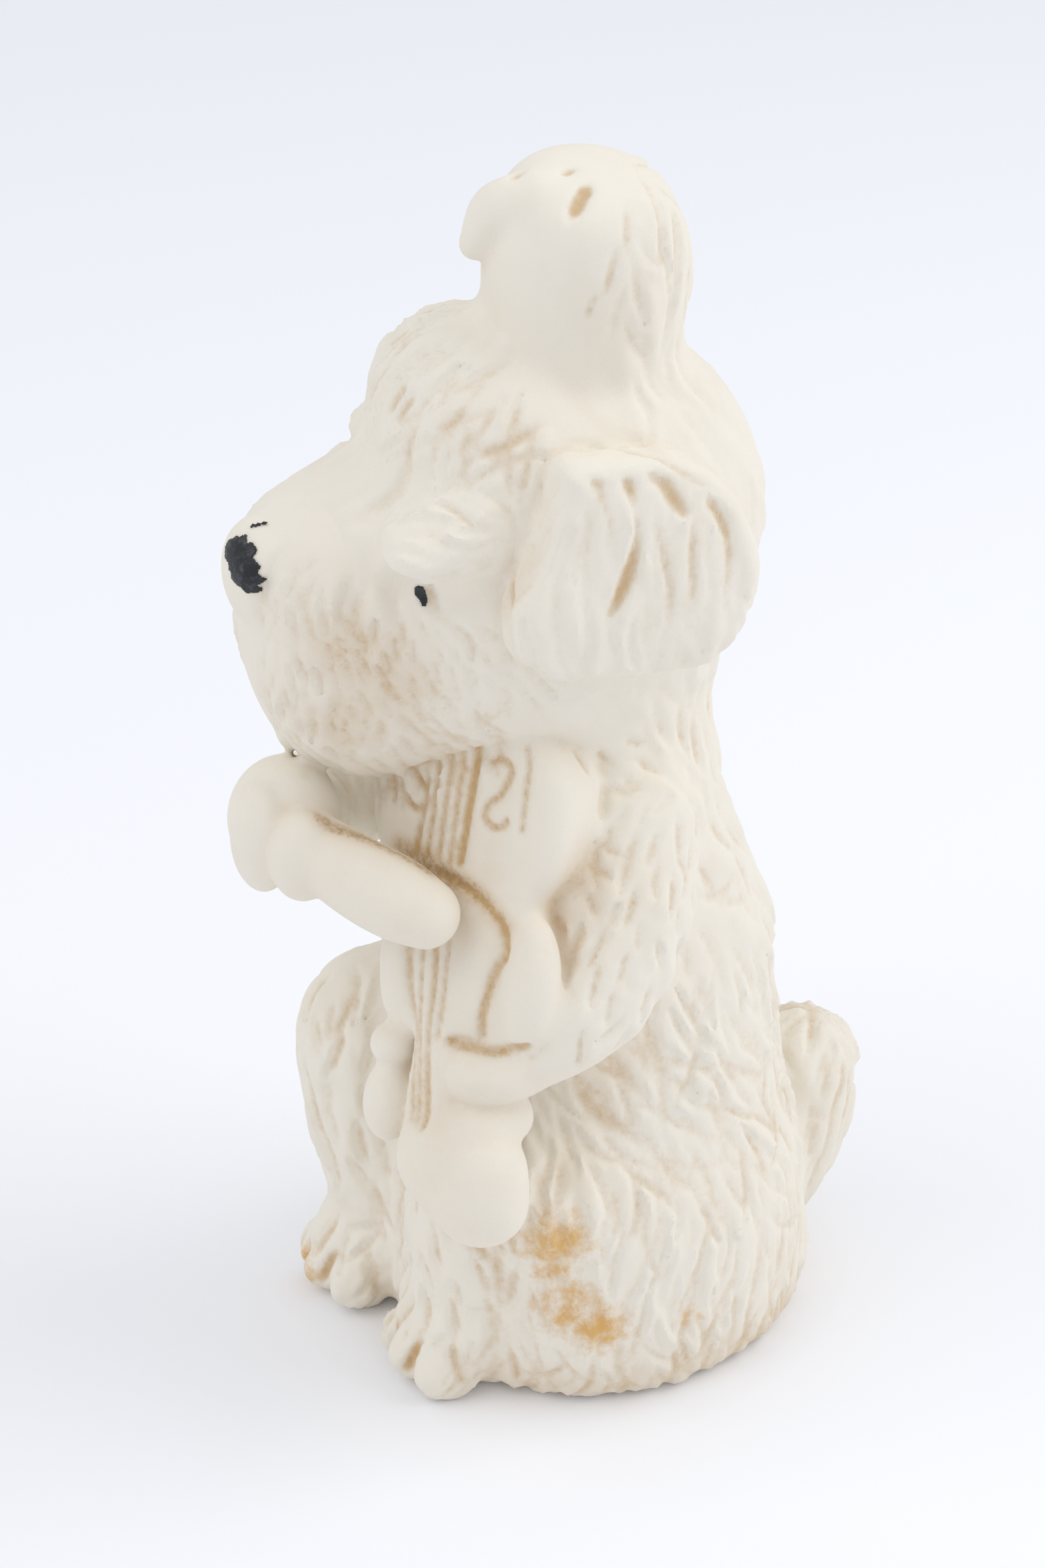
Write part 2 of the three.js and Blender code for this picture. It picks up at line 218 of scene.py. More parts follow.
# The combing is noted down for each piece, and is done when the clay is whole.
combings = []


def comb(piece, flow, spacing, length, width, depth, where=None, raised=0.25, seed=1):
    """Short carved strokes all over a piece, or where a function of the place allows them."""
    combings.append(dict(piece=piece, flow=flow, spacing=spacing, length=length, width=width, depth=depth,
                         where=where, raised=raised, seed=seed))


clay.press("torso", 4, stack([
    [0, 0, 6.5, 19.6, 20.2], [3, 0, 6.5, 21, 21.6], [10, 0, 6.5, 21.2, 21.8], [19, 0, 6.5, 20.2, 20.6],
    [28, 0, 6.4, 18.8, 19], [37, 0, 6.2, 17.4, 18.2], [45, 0, 6, 16.4, 17.8], [52, 0, 5.4, 14.8, 16],
    [60, 0, 4.6, 13, 13.9], [68, 0, 4, 12.4, 13.2], [78, 0, 3.5, 12, 12.6]], power=2.15))
clay.press("torso", 5, lump([0, -6, 46], [11, 8, 14]), lump([12.6, -2.6, 53], [5, 5, 10]),
           *[lump([side * 13.5, 5, 15], [7.6, 14, 13.5], (6, 0, side * 6)) for side in (1, -1)])


def coat(p):
    """Down, and round towards the back on each flank."""
    side = np.where(p[:, 0] > 0, 1.0, -1.0)
    flank = np.clip(np.abs(p[:, 0]) / 14, 0, 1) * np.clip((p[:, 2] - 6) / 20, 0, 1)
    sway = 0.22 * np.sin(p[:, 2] / 4.5 + p[:, 1] / 6) + 0.1 * np.sin(p[:, 1] / 2.6 + side)
    rise = np.clip((p[:, 2] - 14) / 20, -0.4, 1)
    return np.stack([-0.2 * side * flank, 0.5 * flank * rise + sway, -np.ones(len(p))], 1)


def chest(p):
    """Short strokes that part down and outwards from the throat."""
    return np.stack([0.35 * np.sign(p[:, 0]), 0.75 + 0.2 * np.sin(p[:, 2] / 2), -0.8 * np.ones(len(p))], 1)


WAIST, THROAT, HEM = 46, 72, 7.5
comb("torso", coat, 4.0, 10, 1.9, 0.3, lambda p: p[:, 2] < WAIST + 2, raised=0.5, seed=11)
comb("torso", coat, 2.0, 8, 1.0, 0.28, lambda p: (p[:, 2] < WAIST) & (p[:, 2] > 4), raised=0.1, seed=12)
comb("torso", coat, 2.8, 6.5, 1.3, 0.24,
     lambda p: (p[:, 2] >= WAIST) & (p[:, 2] < THROAT + 4) & (p[:, 1] > 4), raised=0.3, seed=14)
comb("torso", chest, 1.8, 3.8, 0.95, 0.34,
     lambda p: (p[:, 2] >= WAIST) & (p[:, 2] < THROAT) & (p[:, 1] <= 4), raised=0.1, seed=15)
comb("torso", lambda p: np.tile([0, 0, -1.0], (len(p), 1)), 2.0, 5, 1.1, 0.3, lambda p: p[:, 2] < HEM,
     raised=0.25, seed=13)

# ------------------------------------------------------------------ head
# The slip-cast head leans onto the fiddle. A round skull carries a deep square muzzle that ends in a full
# beard, and a thick fringe falls forward from the crown.
HEAD_AT = np.array([0, 3, 90])
HEAD_TURN = turned(0, 12, -6)
head_forms = [
    lump([0, 0, 0.5], [17.2, 17.8, 18]),
    stack([[6, 0, -4, 13, 14.5], [13, 0, -7.5, 13, 14.8], [20, 0, -8.6, 11.6, 15.4], [26, 0, -8, 9.6, 13.3],
           [29.4, 0, -6.4, 6.8, 9.8], [31.4, 0, -4, 3.4, 4.6]], power=2.3, edge=3,
          turn=np.array([[1, 0, 0], [0, 0, -1], [0, 1, 0]])),
]
clay.press("head", 7, *[form.within(HEAD_AT, HEAD_TURN) for form in head_forms])
clay.press("head", 5, lump([-2, -9.4, 12.4], [11.5, 8.4, 6.8]).within(HEAD_AT, HEAD_TURN),
           *[lump([side * 8.2, -8, -9], [6.2, 8, 7]).within(HEAD_AT, HEAD_TURN) for side in (1, -1)])
clay.press("head", 1.6, lump([0.2, -30.6, -0.6], [3.6, 2.6, 4.7]).within(HEAD_AT, HEAD_TURN))


def in_head(p):
    return (p - HEAD_AT) @ HEAD_TURN


def head_hair(p):
    """Down the muzzle and the cheeks, and outwards from the topknot on the skull."""
    q = in_head(p)
    spread = (q - [-3, 1, 30]) / 14
    low = np.clip((6 - q[:, 2]) / 6, 0, 1)[:, None]
    sway = 0.2 * np.sin(q[:, 2] / 2.3 + q[:, 1] / 3)
    swept = 0.42 + sway + 0.25 * np.clip((q[:, 1] + 22) / 10, -1, 1)
    down = np.stack([0 * sway, swept, -np.ones(len(p))], 1)
    return ((1 - low) * spread + low * down) @ HEAD_TURN.T


def muzzle_side(p):
    q = in_head(p)
    below_eyes = q[:, 2] < 3 - 0.4 * np.clip(q[:, 1] + 24, -6, 6)
    beside_nose = np.abs(q[:, 0]) + 0.4 * (q[:, 1] + 30) > 3.4
    return (q[:, 1] < -9) & below_eyes & beside_nose


def forehead(p):
    q = in_head(p)
    return (q[:, 1] < -7) & (q[:, 2] > 9) & (q[:, 1] > -19)


comb("head", head_hair, 1.4, 3.8, 0.8, 0.27, where=muzzle_side, raised=0.1, seed=21)
comb("head", head_hair, 3.6, 5, 1.4, 0.26, where=muzzle_side, raised=0.3, seed=26)
comb("head", head_hair, 1.8, 7, 1.0, 0.3,
     where=forehead, raised=0.45, seed=22)
comb("head", head_hair, 2.6, 4.6, 0.9, 0.14,
     where=lambda p: (in_head(p)[:, 1] > -9) & (in_head(p)[:, 2] < -5), raised=0.3, seed=23)
comb("head", head_hair, 3.2, 8, 1.1, 0.2, where=lambda p: in_head(p)[:, 1] > 2, raised=0.4, seed=24)


lines, tan_and_shade_smears = [], []


def line(points, width, depth, at=(0, 0, 0), turn=None, taper=0.35):
    """One cut along a curve. A point may say how hard the tool is pressed there, as a fourth number."""
    points = [[*point, 1][:4] for point in points]
    points = along(points, 8)
    points[:, :3] = points[:, :3] @ (np.eye(3) if turn is None else turn).T + at + belly
    lines.append((points, width, depth, taper))


def smear_tan_and_shade(points, reach, amount, at=(0, 0, 0), turn=None):
    """A tan mark along a curve: thick wash in some places, painted shade in creases and under parts."""
    tan_and_shade_smears.append((np.array(points, float) @ (np.eye(3) if turn is None else turn).T + at, reach, amount))


# The fringe is sharpened by hand after it is combed: deep nicks over the forehead, and long lines back to
# the ears.
FRINGE_NICKS = (
    ([[1, -16.2, 16.6], [0.8, -17.3, 15.2], [0.8, -18.1, 13.4]], 1.6, 0.46),
    ([[1.1, -12.2, 19.1], [2.2, -13.8, 18.1], [2.9, -15, 17.1]], 1.0, 0.3),
    ([[5.2, -13.1, 17.5], [5.5, -14.5, 16.3], [5.4, -15.5, 15.3]], 1.4, 0.4),
    ([[7.3, -13, 16.2], [7.5, -13.9, 15.2], [7.5, -14.7, 14.1]], 1.4, 0.4),
    ([[8.7, -7.1, 16.8], [9, -9.1, 16.3], [9.1, -11.2, 15.4], [8.2, -13.9, 14.2]], 1.6, 0.45),
    ([[10.1, -11.8, 13.5], [10, -10.8, 14.5], [10.3, -8.5, 15], [10.8, -7.2, 14.9]], 1.1, 0.34),
    ([[9.9, -5.3, 15.7], [11, -2.4, 15.4], [14.1, -0.1, 15.7], [16.4, 2.8, 15.3], [17.2, 6.6, 12.7]],
     0.9, 0.3),
    ([[6, -9.7, 18.2], [6.1, -13.3, 16.8], [4.5, -16.9, 13.5], [1.2, -19.3, 9.4]], 1.1, 0.25),
    ([[2.2, -12.1, 18.9], [2.2, -15.1, 17.3], [2.7, -17.5, 13.8], [0, -19.5, 9.3]], 1.1, 0.25))
for side in (1, -1):
    for nick, width, depth in FRINGE_NICKS:
        line([[side * x, y, z] for x, y, z in nick], width, depth, HEAD_AT, HEAD_TURN)
    # Painted shade: a broad tan darkening over each side of the muzzle.
    smear_tan_and_shade([[side * 9, -24, -4], [side * 9, -20, -8], [side * 8, -24, -12]], 6.5, 0.62, HEAD_AT, HEAD_TURN)
smear_tan_and_shade([[4, -4, 19], [9, -2, 17], [13, 4, 14]], 1.6, 0.3, HEAD_AT, HEAD_TURN)

# ------------------------------------------------------------------ topknot
# Hair gathered on the crown into a tall rounded knot, pressed solid, with one lock that hangs off its
# front. The front is smooth, and the left side and the back carry long combed lines.


def roll(rows, steps=6):
    """A roll of clay along a curve. A row is [x, y, z, radius]."""
    rows = along(rows, steps)
    low, high = (rows[:, :3] - rows[:, 3:]).min(0), (rows[:, :3] + rows[:, 3:]).max(0)

    def distance(x, y, z):
        nearest = None
        for a, b in zip(rows[:-1], rows[1:]):
            run = b[:3] - a[:3]
            t = ((x - a[0]) * run[0] + (y - a[1]) * run[1] + (z - a[2]) * run[2]) / (run @ run)
            t = np.clip(t, 0, 1)
            near = a[0] + t * run[0], a[1] + t * run[1], a[2] + t * run[2]
            gap = np.sqrt((x - near[0]) ** 2 + (y - near[1]) ** 2 + (z - near[2]) ** 2)
            gap = gap - a[3] - t * (b[3] - a[3])
            nearest = gap if nearest is None else np.minimum(nearest, gap)
        return nearest

    return Shape(low, high, distance)


clay.press("topknot", 2.5, stack([
    [10, -3, 1, 8.8, 9], [16, -3, 1, 8.6, 8.9], [21, -3, 0.9, 9.2, 9.3], [27, -3, 0.7, 9.3, 9.3],
    [32, -3, 0.3, 7.7, 7.6], [34.4, -3, 0, 5, 5], [35.2, -3, 0, 2.6, 2.6]], edge=2)
           .within(HEAD_AT, HEAD_TURN))
clay.press("topknot_lock", 1.0, roll([[-3, -4.4, 32, 2.8], [-4.4, -7.6, 31, 2.4], [-5, -9.2, 27.4, 1.5]])
           .within(HEAD_AT, HEAD_TURN))


def knot_hair(p):
    q = in_head(p) - [-3, 1, 0]
    way = np.stack([0.12 * np.sin(q[:, 2] / 3), 0.15 * np.sin(q[:, 2] / 4 + q[:, 0]), -np.ones(len(p))], 1)
    return way @ HEAD_TURN.T


comb("topknot", knot_hair, 2.4, 7, 0.9, 0.22, lambda p: (in_head(p) @ [0.35, 0.94, 0]) > 2.5, raised=0.25,
     seed=31)
for nick, width, depth in (
        ([[-0.9, -0.6, 35.2], [-0.1, -1.4, 34.9], [1.2, -2.6, 34.2], [2.1, -3.6, 33]], 1.7, 0.6),
        ([[-3.4, -1.2, 35.2], [-2.8, -2.6, 34.9]], 1.2, 0.35),
        ([[2.2, 1.6, 34.4], [3.9, 1.0, 32.6], [4.8, 0.6, 30.4]], 1.0, 0.3),
        ([[4.7, 0.1, 32.1], [5.4, -0.6, 30.3], [6, -1.4, 27.3]], 0.9, 0.35),
        ([[-3, 4.2, 34.5], [2.8, 4.6, 32.6], [5.5, 3.7, 28.3]], 1.0, 0.26),
        ([[0.5, 6.1, 32.9], [3.7, 6.2, 29.4], [5.2, 5.4, 25]], 1.0, 0.26),
        ([[5.7, -2.7, 25.3], [5.7, -2, 28]], 0.8, 0.3),
        ([[-5.2, -5.3, 33.9], [-4, -6.6, 34]], 1.2, 0.4)):
    line(nick, width, depth, HEAD_AT, HEAD_TURN)

# ------------------------------------------------------------------ ears
# Each ear is a thick pressed flap, luted on along its upper edge and standing off the cheek below.
# Its outer face is combed in wavy ridges from top to bottom.


def slab(outline, low, high, edge, crown=0.0):
    """A flat cut-out with rounded edges, between two heights, its top face crowned."""
    points = along([outline[-1], *outline, outline[0], outline[1]], 5)[5:-5]

    def distance(x, y, z):
        nearest, inside = None, None
        for (ax, ay), (bx, by) in zip(points[:-1], points[1:]):
            t = ((x - ax) * (bx - ax) + (y - ay) * (by - ay)) / ((bx - ax) ** 2 + (by - ay) ** 2)
            t = np.clip(t, 0, 1)
            gap = np.hypot(x - ax - t * (bx - ax), y - ay - t * (by - ay))
            cross = ((ay > y) != (by > y)) & (x < ax + (y - ay) * (bx - ax) / (by - ay + 1e-9))
            nearest = gap if nearest is None else np.minimum(nearest, gap)
            inside = cross if inside is None else inside ^ cross
        rim = np.where(inside, -nearest, nearest) + edge
        top = high + crown * (1 - np.exp(-np.maximum(-rim, 0) / 3))
        face = np.abs(z - (low + top) / 2) - (top - low) / 2 + edge
        outside = np.hypot(np.maximum(rim, 0), np.maximum(face, 0))
        return outside + np.minimum(np.maximum(rim, face), 0) - edge

    return Shape([*points.min(0), low], [*points.max(0), high + crown], distance)


EAR_OUTLINE = [[-5.2, 10.8], [-6.6, 8.6], [-8, 3.5], [-10.8, -1.5], [-10.8, -5.6], [-8.6, -8.2], [-3, -9.4],
               [4.8, -10], [9.8, -8], [12, -2.2], [11, 3], [8.6, 7], [4, 10.2]]
EAR_GROOVES = [
    ([[-4.4, 10.6, 1], [-3.5, 9.8, 1], [-3.3, 8.2, 0.8], [-2.9, 6.1, 0.6], [-3.4, 3, 0.35]], 1.36, 0.44),
    ([[-1.4, 10.4, 0.9], [-0.7, 9.2, 1], [-0.5, 7.2, 0.5], [-0.3, 4.8, 0.7], [-0.8, 2.4, 1],
      [-1.9, -0.5, 1.1], [-3.6, -3.6, 0.5]], 1.615, 0.48),
    ([[1.2, 10.2, 0.8], [2.8, 8.6, 1], [3.6, 7.1, 1.1], [4.7, 5.4, 0.7]], 1.87, 0.48),
    ([[1.2, 6.3, 0.5], [1.7, 3.9, 0.9], [2.3, 1.3, 1], [2.7, -2, 1], [2.4, -5.4, 0.5]], 1.19, 0.32),
    ([[5.1, 5.6, 0.6], [4.9, 2, 1], [4.9, -1.1, 1], [4.7, -4.8, 0.5]], 1.19, 0.336),
    ([[6.8, 5.1, 0.8], [6.5, 0.5, 0.8], [6.5, -5, 0.5]], 0.85, 0.224),
    ([[6.6, 7, 0.9], [8.2, 4.4, 1], [8.9, 1.6, 1], [8, -3.6, 0.5]], 1.36, 0.4),
    ([[-4.9, 7.9, 0.8], [-5, 5.6, 1], [-5.4, 1.5, 0.9], [-5.2, -4, 0.4]], 1.105, 0.224),
    ([[-6.4, 6, 0.8], [-7.7, 2, 1], [-8.4, -3, 0.5]], 1.105, 0.176)]


def ear_hair(p):
    return np.stack([0 * p[:, 0], 0.3 * np.sin(p[:, 2] / 1.6 + p[:, 1]), -np.ones(len(p))], 1)


for side, name, height in ((1, "left_ear", 6.4), (-1, "right_ear", 0)):
    out = np.array([side * math.cos(math.radians(16)), 0, math.sin(math.radians(16))])
    across = np.array([0, side, 0])
    ear_turn = np.stack([across, np.cross(out, across), out], 1)
    ear_at = np.array([side * 18, -1.5, height])
    outline = [[side * x, y] for x, y in EAR_OUTLINE]
    flap = slab(outline[::side], -4.4, 1.7, 1.8, crown=1.1).within(ear_at, ear_turn)
    under = [[-8.8, 7], [-10.2, 2.4], [-12.7, -2.4], [-12.6, -7], [-9, -10.6], [-2, -11.4], [5, -11.8]]
    gully = roll([[side * x, y, -1.4, 1.2] for x, y in under]).within(ear_at, ear_turn)
    clay.scoop(0.8, gully.within(HEAD_AT, HEAD_TURN))
    clay.press(name, 0.7, flap.within(HEAD_AT, HEAD_TURN))
    comb(name, ear_hair, 1.7, 6, 0.9, 0.14, raised=0.3, seed=33)
    for rows, width, depth in EAR_GROOVES:
        line([[side * x, y, 2.8, press] for x, y, press in rows], width, depth,
             HEAD_AT + HEAD_TURN @ ear_at, HEAD_TURN @ ear_turn, taper=0.12)

# ------------------------------------------------------------------ brows
# A pellet of hair over each eye, combed back from the bridge of the nose, with a socket scooped out below it.
brows = {"left_brow": (1, [9.5, -15.6, 6.4]), "right_brow": (-1, [-8.2, -11.6, 5])}
BROW_STROKES = [
    ([[-0.8, -1.4, 3.9], [0.8, -0.1, 3.8], [2.2, 1, 3.1], [3.2, 1.7, 2.3]], 1.1, 0.36),
    ([[-0.1, 1.4, 5.4], [1.1, 3.2, 5.2], [2.2, 4.4, 3.9], [3.7, 4.9, 2.7]], 1.1, 0.3),
    ([[1.2, -3.1, 1.9], [2.3, -1.7, 1.9], [3.5, -0.2, 1.4]], 0.9, 0.25),
    ([[-1.9, -1.6, 4.2], [-2.4, -2.9, 3.3], [-2.1, -3.9, 2.4]], 0.9, 0.2),
    ([[-1.3, -5.9, -0.4], [0.7, -4.9, 0], [1.6, -4.6, -0.7], [2.1, -4.3, -1.8], [2.6, -3.5, -2.5],
      [2.5, -2.3, -4.5], [3.1, -1.2, -6.2]], 1.7, 0.6)]
for name, (side, at) in brows.items():
    at = np.array(at)
    clay.press(name, 3.2, lump(at + [side * 0.6, 0.6, 1], [4.2, 6, 3.2], (14, side * 15, 0))
               .within(HEAD_AT, HEAD_TURN))
    clay.press(name, 1.4, lump(at + [side * 1.0, -3.1, 0.6], [3.2, 3.3, 1.9]).within(HEAD_AT, HEAD_TURN))
    socket = lump([side * 11.7, -21, 3.5], [2.7, 2.3, 2.8], (0, 0, side * 28))
    clay.scoop(0.5, socket.within(HEAD_AT, HEAD_TURN))
    comb(name, lambda p, side=side: np.tile([0.6 * side, 1, 0.2], (len(p), 1)), 1.4, 4.6, 0.9, 0.2,
         raised=0.15, seed=36)
    for rows, width, depth in BROW_STROKES:
        line([at + [side * x, y, z] for x, y, z in rows], width, depth, HEAD_AT, HEAD_TURN)
    # Painted shadow under the brow's ledge over the eye socket, and painted shade in the crease in front of
    # the ear.
    smear_tan_and_shade([at + [side * 0.6, -5.6, -1], at + [side * 2.2, -4, -3.4], at + [side * 3.6, -1.4, -6]], 1.1, 0.45,
         HEAD_AT, HEAD_TURN)
    smear_tan_and_shade([at + [side * 6.4, 5, 6.5], at + [side * 7, 5, 1.5], at + [side * 7, 3.5, -3]], 1.8, 0.4,
         HEAD_AT, HEAD_TURN)

# ------------------------------------------------------------------ tail
# A short rolled tail, set upright on the rump and combed upwards.
clay.press("tail", 2.2, roll([[0, 26, 5, 5], [0, 29.5, 12, 6.2], [0, 31, 20, 6]]))
comb("tail", lambda p: np.tile([0, 0.2, 1.0], (len(p), 1)), 2.2, 6, 1.1, 0.3, raised=0.3, seed=41)

# ------------------------------------------------------------------ hind legs and feet
# Each leg is a roll bent at the knee, with the shin upright in front of the belly. The left leg is tucked in
# under the fiddle, and the right knee is drawn up to carry it. The feet are pressed, with three toes.
legs = {"left": (1, [8.6, -10, 24], [6.6, -10.5, 8]), "right": (-1, [-12, -13.4, 31], [-10.6, -12, 8])}
for name, (side, knee, ankle) in legs.items():
    knee, ankle = np.array(knee), np.array(ankle)
    shin = (knee + ankle) / 2 - [0, 0.8, 0]
    clay.press(f"{name}_leg", 4, roll([
        [side * 12.6, 5, 0.75 * knee[2], 7.8], [side * 12.4, -5, 0.95 * knee[2], 7.4],
        [*knee, 6.8], [*shin, 6.2], [*ankle, 5]]))
    x, y, _ = ankle
    clay.press(f"{name}_foot", 2.5, lump([x, y - 1.8, 5], [6.2, 6.6, 5]))
    for toe in (-1, 0, 1):
        clay.press(f"{name}_foot", 0.7, lump([x + toe * 3.9, y - 5.7 + abs(toe) * 0.9, 3], [2.4, 3.6, 3]))
    comb(f"{name}_leg", coat, 2.2, 6.5, 1.2, 0.34, raised=0.3, seed=51)
    for gap in (-2, 2):
        line([[x + gap, y - 5.4, 6.4], [x + gap, y - 8, 4.6], [x + gap, y - 9.2, 1.4]], 1.3, 0.6)
    comb(f"{name}_foot", lambda p: np.tile([0, -0.7, -1.0], (len(p), 1)), 2.4, 3, 0.9, 0.26,
         raised=0.3, seed=52)

# ------------------------------------------------------------------ arms
# Two rolls from the shoulders. The left one comes down beside the fiddle to its neck, standing clear of the
# flank. The right one reaches forward under the beard to the bow.
clay.press("left_arm", 2.6, roll([[11.6, 4.4, 62, 6.2], [15.6, 1.2, 55, 6], [18.2, -4.4, 47.6, 4.9],
                                [15.2, -13.8, 42, 4]]))
clay.press("right_arm", 2.6, roll([[-12, 2, 61, 6.5], [-17.5, -7, 56, 6], [-15, -17, 56, 5],
                                  [-9, -23, 60, 4.6]]))


def arm_hair(p):
    return np.stack([0.2 * np.sin(p[:, 2] / 3), -0.45 - 0.3 * np.sin(p[:, 2] / 5), -np.ones(len(p))], 1)


comb("left_arm", arm_hair, 2.0, 4.4, 0.95, 0.3, where=lambda p: p[:, 2] > 47, raised=0.3, seed=61)
comb("right_arm", arm_hair, 2.2, 4.4, 0.9, 0.22, raised=0.3, seed=62)

# ------------------------------------------------------------------ fiddle
# The soundbox is a pressed slab with a crowned top plate, the neck and fingerboard are one strip with the
# strings drawn on it, and the scroll is a ball of clay. It points steeply down from the chin.
FIDDLE_AT = np.array([10, -14.6, 56])
up = np.array([-0.22, 0.215, 0.95])
up /= np.linalg.norm(up)
out = np.array([0.456, -0.859, 0.233])
out -= out @ up * up
out /= np.linalg.norm(out)
FIDDLE_TURN = np.stack([np.cross(up, out), up, out], 1)
FIDDLE_DEPTH = 8.6
fiddle_outline = [[0, 20.5], [5.8, 19.4], [10.0, 15.8], [11.2, 11.4], [10.8, 6.4], [8.8, 2.6], [9.6, -0.4],
                  [10.8, -4], [10.6, -9], [8, -11.6], [2, -12.4], [-3, -12.8], [-7.2, -10.8], [-7.6, -5],
                  [-7, -1.4], [-8, 2], [-10.4, 8], [-9.8, 14], [-5.6, 19.4]]
soundbox = slab(fiddle_outline[::-1], -FIDDLE_DEPTH, 0, 2.2, crown=0.5)
clay.press("fiddle_body", 0.6, soundbox.within(FIDDLE_AT, FIDDLE_TURN))
clay.press("fiddle_body", 0.9, lump([3.4, -5.2, -0.8], [3.2, 6.6, 2.3]).within(FIDDLE_AT, FIDDLE_TURN),
           lump([8.8, -4.8, -1.4], [3, 6.6, 2.6]).within(FIDDLE_AT, FIDDLE_TURN),
           lump([-5.4, -4.6, -0.8], [2.1, 6.2, 1.8]).within(FIDDLE_AT, FIDDLE_TURN))
board = [[3.3, 15], [3.1, 2], [2.6, -12], [2.3, -24]]
board = [*board, *[[-x, y] for x, y in board[::-1]]]
clay.press("fiddle_neck", 0.5, slab(board[::-1], -1.5, 0.6, 0.6, crown=0.4).within(FIDDLE_AT, FIDDLE_TURN))
neck = roll([[0, -10, -1.8, 2.6], [0, -24, -1.6, 2.6]])
clay.press("fiddle_neck", 1.0, neck.within(FIDDLE_AT, FIDDLE_TURN))
clay.press("fiddle_scroll", 1.4, lump([3.4, -23.8, -1.2], [6.8, 5.4, 4.6]).within(FIDDLE_AT, FIDDLE_TURN),
           lump([5.4, -26.8, -1.5], [4.9, 4.4, 4.2]).within(FIDDLE_AT, FIDDLE_TURN))

FIDDLE_LINES = [
    # the strings, over the body and again over the neck
    ([[-3.3, 13], [-4.2, 5.1]], 0.9, 0.42), ([[-2, 15], [-2.7, 5.2]], 0.9, 0.42),
    ([[-0.7, 16.6], [-1.3, 5.2]], 0.9, 0.42), ([[0.6, 17], [0, 5]], 0.9, 0.42),
    ([[2.2, 17.6], [1.1, 5]], 1.1, 0.55),
    ([[-3.8, -1.6], [-3.2, -8.4], [-1.4, -20.8]], 0.9, 0.42),
    ([[-2.3, -1.6], [-1.9, -9.2], [-0.4, -21]], 0.9, 0.42),
    ([[-0.7, -1.1], [-0.5, -5.6], [-0.4, -12], [0.6, -21.6]], 1.0, 0.45),
    ([[0.8, -1.4], [0.8, -6], [0.6, -12]], 0.9, 0.36),
    # the inlay and the seam between the plate and the ribs
    ([[7.2, 18], [7.4, 15], [7.3, 9.4]], 0.9, 0.4), ([[-7.2, 18], [-7.4, 15], [-7.3, 9.4]], 0.9, 0.4),
    ([[6.2, 0.9], [6.9, -1.8], [6.3, -3.4], [5.3, -7.8], [5.3, -10.8]], 1.2, 0.46),
    # the waist under the bow, and the foot of the body, where the hand begins
    ([[-1, 4.4], [1.4, 3.7], [3.6, 2.7], [6.4, 0.7]], 1.2, 0.36),
    ([[1.8, -11.5], [5.5, -11.3], [11.2, -10.9]], 1.4, 0.5),
    # the sound holes
    *[([[side * x, y] for x, y in ((3.3, 15.2), (4, 16), (5.1, 15.9), (5.6, 14.9), (4.8, 12.9), (3.6, 11.5),
                                   (3.4, 10.4), (4.3, 9.6), (5.4, 10), (5.7, 11))], 0.95, 0.45)
      for side in (1, -1)]]
for points, width, depth in FIDDLE_LINES:
    line([[x, y, 0.6] for x, y in points], width, depth, FIDDLE_AT, FIDDLE_TURN, taper=0.05)

# ------------------------------------------------------------------ bow
# A thick rolled rod, because a thin one would break in the mould. It runs from the right paw to the fiddle's
# waist, and the wash is left thick along its upper edge.
clay.press("bow", 0.9, roll([[1, -25.2, 62.6, 3.2], [6, -22.2, 60.6, 3.8], [9.6, -19.8, 59.4, 3.9],
                             [12.2, -18, 58.6, 3.3]]))

# Painted shade: a broad tan darkening all round the bow, under the chin between the fist and the fiddle.
smear_tan_and_shade([[1, -25.2, 62.6], [12, -18, 58.6]], 6, 0.4)
smear_tan_and_shade([[3, -24.6, 65.4], [7, -20, 64.2], [11, -16.8, 62.4]], 1.6, 0.85)

# ------------------------------------------------------------------ paws
# The left paw closes round the fiddle's neck, two fingers on one side and two fingertips on the other. The
# right paw is a fist round the end of the bow.
left_fingers = [
    roll([[6.8, -13.8, -4, 2.7], [6.4, -14.1, -1.8, 2.7], [4.2, -14.2, -0.2, 2.6]]),
    roll([[5.6, -19, -4.4, 2.7], [5.4, -19.6, -2.2, 2.7], [4.4, -19.6, -0.6, 2.5]]),
    lump([-5.6, -13.8, -1.4], [2.2, 2.2, 2.8]), lump([-5.6, -19.4, -1.6], [2.5, 4.2, 3.2])]
clay.press("left_paw", 1.2, lump([-0.5, -17.4, -5], [6.8, 5.4, 3.4]).within(FIDDLE_AT, FIDDLE_TURN))
clay.press("left_paw", 1.0, *[finger.within(FIDDLE_AT, FIDDLE_TURN) for finger in left_fingers])
clay.press("right_paw", 0.9, lump([-3.2, -25.2, 62.8], [5, 5.4, 6.2]))
clay.press("right_paw", 0.6, lump([-1.2, -28.3, 62.4], [3.2, 3, 5.6]),
           lump([2.6, -25.8, 61.8], [3, 3.4, 4.6]))

# Painted shade in the creases: where the paw meets the foot of the fiddle's body, and between the two
# fingers.
smear_tan_and_shade([[1.8, -11.5, 0.8], [5.5, -11.3, 1], [10, -11, 0]], 0.8, 0.75, FIDDLE_AT, FIDDLE_TURN)
smear_tan_and_shade([[2.6, -17.2, 1.4], [6, -17, 1], [9.6, -17, -0.6]], 0.7, 0.6, FIDDLE_AT, FIDDLE_TURN)
# Painted shade: a broad tan darkening over the whole fiddle.
smear_tan_and_shade([[0, 12, 0], [3, -6, 0], [3, -24, 0]], 12, 0.34, FIDDLE_AT, FIDDLE_TURN)
